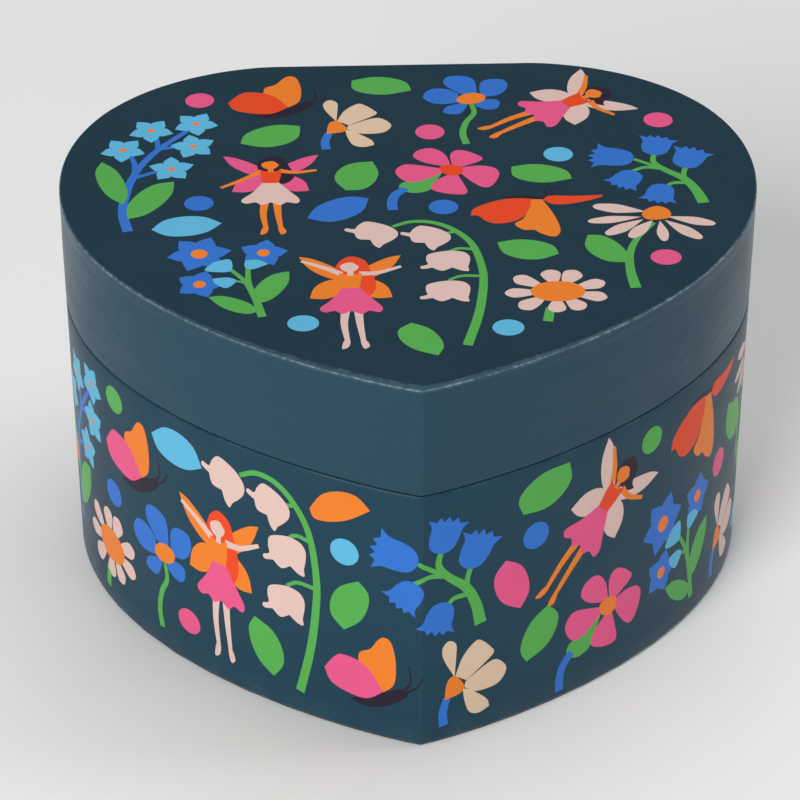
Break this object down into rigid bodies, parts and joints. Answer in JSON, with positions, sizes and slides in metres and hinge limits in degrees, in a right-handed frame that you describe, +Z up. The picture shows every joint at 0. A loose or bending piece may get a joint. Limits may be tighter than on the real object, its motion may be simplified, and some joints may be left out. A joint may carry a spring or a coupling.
{
  "type": "wind up music box",
  "caption": "Heart shaped, paper covered music box with a hinged lid, winding key and a turning winged figure.",
  "frame": {"origin": "on the underside, midway between the front point and the flat back", "axes": "+Z up, -Y towards the heart's point (the front), +Y towards the hinge and the key"},
  "size_m": [0.175, 0.1718, 0.1073],
  "materials": {
    "teal_paper": "satin wrapped paper",
    "printed_paper": "printed satin paper",
    "greyboard": "raw board",
    "pink_flock": "flocked",
    "pink_paper": "matte",
    "cloth": "woven",
    "mirror_glass": "silvered",
    "gilt": "gilt",
    "steel": "bright",
    "spring_steel": "blued",
    "brass": "polished",
    "zinc": "cast",
    "wood": "sawn",
    "nylon": "moulded",
    "figure_paint": "painted",
    "wing_film": "pearly"
  },
  "bodies": {
    "base": {"bottom_sheet": "cloth", "base_floor": "greyboard", "base_paper": "printed_paper", "base_wall": "greyboard", "base_liner": "pink_paper", "floor_lining": "pink_flock", "hinge_cloth_base": "cloth", "stay_ribbon": "cloth", "housing_shell": "pink_paper", "housing_top": "pink_flock", "spindle_bush": "nylon", "bedplate": "zinc", "movement_riser": "wood", "movement_screw_1": "steel", "movement_screw_2": "steel", "movement_screw_3": "steel", "clutch_spring": "spring_steel", "cylinder_bracket": "zinc", "comb": "steel", "comb_screw_1": "steel", "comb_screw_2": "steel", "train_bracket": "zinc", "governor_frame": "zinc", "spindle_bracket": "zinc", "wire_guide": "nylon"},
    "lid": {"lid_paper": "teal_paper", "lid_top_sheet": "printed_paper", "lid_top": "greyboard", "lid_wall": "greyboard", "lid_liner": "pink_paper", "lid_lining": "pink_flock", "mirror_frame": "gilt", "mirror": "mirror_glass", "hinge_cloth_lid": "cloth"},
    "key": {"winding_key": "brass", "winding_arbor": "steel"},
    "barrel": {"spring_barrel": "brass", "barrel_cover": "brass", "mainspring": "spring_steel"},
    "cylinder": {"tune_cylinder": "brass", "cylinder_arbor": "steel", "cylinder_pinion": "steel", "cylinder_gear": "brass"},
    "train_wheel": {"train_arbor": "steel", "worm_wheel": "nylon"},
    "fan": {"worm": "steel", "fan": "nylon"},
    "dancer": {"dancer_pinion": "steel", "dancer_spindle": "steel", "turntable": "gilt", "figure_spring": "spring_steel", "figure_body": "figure_paint", "figure_wings": "wing_film"},
    "stop_wire": {"stop_wire": "steel"}
  },
  "joints": [
    {"name": "lid_open", "type": "hinge", "parent": "base", "child": "lid", "pos_m": [0, 0.07525, 0.0768], "axis": [-1, 0, 0], "range_deg": [0, 100]},
    {"name": "stop_wire_lift", "type": "slide", "parent": "base", "child": "stop_wire", "axis": [0, 0, 1], "range_m": [0, 0.003]},
    {"name": "key_wind", "type": "hinge", "parent": "base", "child": "key", "pos_m": [0, 0.07525, 0.027], "axis": [0, 1, 0], "range_deg": [0, 2250]},
    {"name": "cylinder_spin", "type": "hinge", "parent": "base", "child": "cylinder", "pos_m": [0.0217, 0.05045, 0.027], "axis": [1, 0, 0], "continuous": true},
    {"name": "barrel_turn", "type": "hinge", "parent": "base", "child": "barrel", "pos_m": [0, 0.06025, 0.027], "axis": [0, 1, 0], "continuous": true},
    {"name": "dancer_spin", "type": "hinge", "parent": "base", "child": "dancer", "pos_m": [0, 0.05045, 0.05], "axis": [0, 0, 1], "continuous": true},
    {"name": "train_spin", "type": "hinge", "parent": "base", "child": "train_wheel", "pos_m": [0.03084, 0.05045, 0.0352], "axis": [1, 0, 0], "continuous": true},
    {"name": "fan_spin", "type": "hinge", "parent": "base", "child": "fan", "pos_m": [0.03344, 0.04495, 0.0352], "axis": [0, 0, 1], "continuous": true}
  ],
  "couplings": [
    {"joint": "stop_wire_lift", "follows": "lid_open", "m_per_rad": 0.00166},
    {"joint": "barrel_turn", "follows": "cylinder_spin", "ratio": -0.33333},
    {"joint": "dancer_spin", "follows": "cylinder_spin", "ratio": 1},
    {"joint": "train_spin", "follows": "cylinder_spin", "ratio": -3.5},
    {"joint": "fan_spin", "follows": "cylinder_spin", "ratio": -70}
  ]
}
